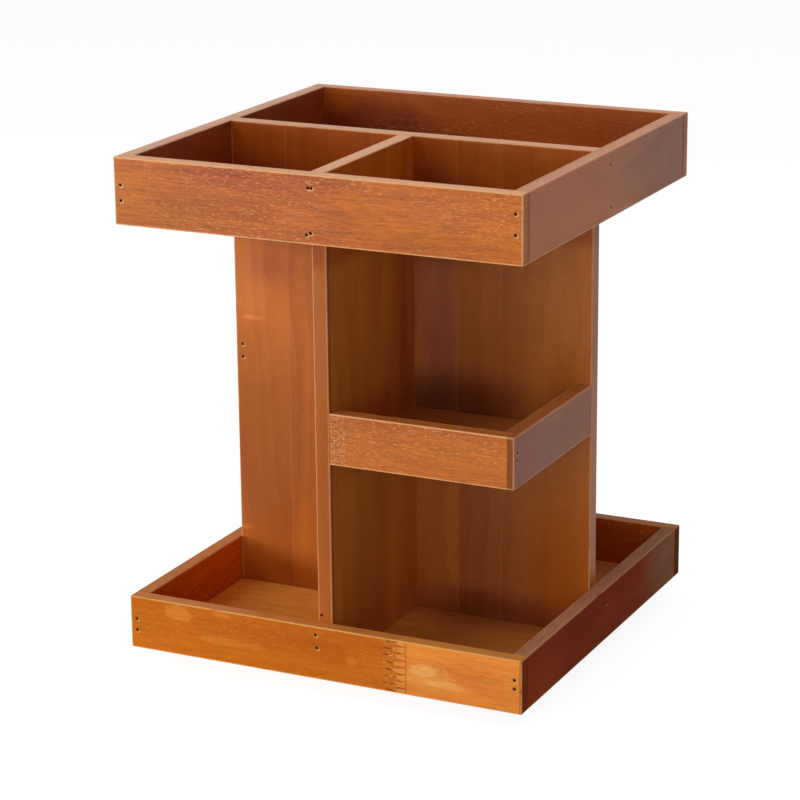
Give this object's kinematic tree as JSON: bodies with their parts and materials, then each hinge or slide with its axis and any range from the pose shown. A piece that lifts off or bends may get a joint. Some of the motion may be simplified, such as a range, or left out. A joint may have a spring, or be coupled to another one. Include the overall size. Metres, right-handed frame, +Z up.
{
  "type": "rotating desk organizer",
  "caption": "Square wooden desk organizer on a hidden turntable: low base tray, plus-shaped upright partition, open corner trays at mid height and a divided top tray.",
  "frame": {"origin": "on the table under the turning axis, at the bottom of the rubber pads", "axes": "+Z up along the turning axis, +X to the right and -Y towards the front, the side with the middle tray at its right"},
  "size_m": [0.25, 0.25, 0.3095],
  "materials": {
    "stained_board": "orange-brown stained softwood under satin lacquer, grain along each board",
    "stained_panel": "thin plywood stained like the boards, satin",
    "foot_board": "stained plywood disc, satin",
    "brad_steel": "dull wire, sunk below the wood",
    "plated_sheet": "pressed zinc-plated sheet",
    "ball_steel": "polished bearing steel",
    "cage_nylon": "natural nylon",
    "screw_steel": "zinc-plated pan heads",
    "pad_rubber": "matt black rubber"
  },
  "bodies": {
    "foot": {"foot_disc": "foot_board", "rubber_pads": "pad_rubber", "bearing_lower_plate": "plated_sheet", "bearing_lower_screws": "screw_steel"},
    "ball_ring": {"ball_cage": "cage_nylon", "bearing_balls": "ball_steel"},
    "carousel": {"base_front_wall": "stained_board", "base_back_wall": "stained_board", "base_left_wall": "stained_board", "base_right_wall": "stained_board", "cross_board": "stained_board", "front_divider": "stained_board", "back_divider": "stained_board", "top_front_wall": "stained_board", "top_back_wall": "stained_board", "top_left_wall": "stained_board", "top_right_wall": "stained_board", "front_tray_front_rail": "stained_board", "front_tray_side_rail": "stained_board", "back_tray_back_rail": "stained_board", "back_tray_side_rail": "stained_board", "base_floor": "stained_panel", "top_floor_front_left": "stained_panel", "top_floor_front_right": "stained_panel", "top_floor_back": "stained_panel", "front_tray_floor": "stained_panel", "back_tray_floor": "stained_panel", "base_wall_brads": "brad_steel", "base_floor_brads": "brad_steel", "top_wall_brads": "brad_steel", "top_floor_brads": "brad_steel", "partition_brads": "brad_steel", "front_tray_brads": "brad_steel", "back_tray_brads": "brad_steel", "bearing_upper_plate": "plated_sheet", "bearing_upper_screws": "screw_steel"}
  },
  "joints": [
    {"name": "carousel_spin", "type": "hinge", "parent": "foot", "child": "carousel", "pos_m": [0, 0, 0.012], "axis": [0, 0, 1], "continuous": true},
    {"name": "ball_ring_spin", "type": "hinge", "parent": "foot", "child": "ball_ring", "pos_m": [0, 0, 0.012], "axis": [0, 0, 1], "continuous": true}
  ],
  "couplings": [
    {"joint": "ball_ring_spin", "follows": "carousel_spin", "ratio": 0.5}
  ]
}
